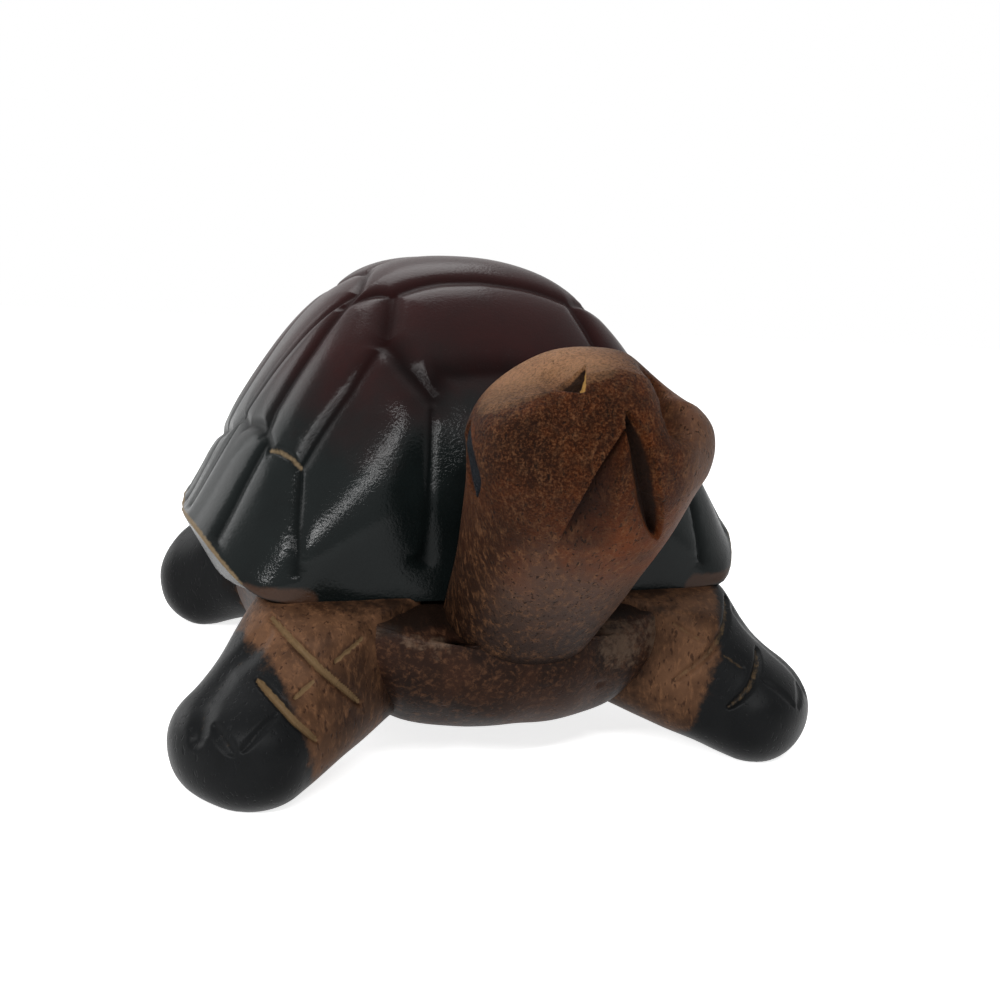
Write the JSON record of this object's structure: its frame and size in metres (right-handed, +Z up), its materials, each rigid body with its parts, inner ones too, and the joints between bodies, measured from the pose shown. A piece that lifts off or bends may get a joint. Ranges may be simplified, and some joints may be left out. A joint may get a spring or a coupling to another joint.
{
  "type": "turtle figurine",
  "caption": "Carved wooden turtle that stands on its feet, with a raised head and a dark lacquered domed shell cut into scutes.",
  "frame": {"origin": "on the floor under the middle of the figurine's box", "axes": "+Z up, the head points along -Y, +X is the turtle's own left"},
  "size_m": [0.0762, 0.1022, 0.0575],
  "materials": {
    "shell_lacquer": "gloss dark lacquer over carved hardwood, oxblood on top and green-black on the flanks",
    "body_wood": "satin brown stained hardwood",
    "head_wood": "matte mid-brown hardwood with open pores",
    "leg_wood": "brown hardwood with black stained feet and pale knife cuts",
    "dowel_wood": "bare turned hardwood"
  },
  "bodies": {
    "root": {"carapace": "shell_lacquer", "body": "body_wood", "head_and_neck": "head_wood", "front_right_leg": "leg_wood", "front_left_leg": "leg_wood", "rear_right_leg": "leg_wood", "rear_left_leg": "leg_wood", "neck_dowel": "dowel_wood", "leg_dowels": "dowel_wood", "carapace_dowels": "dowel_wood"}
  },
  "joints": []
}
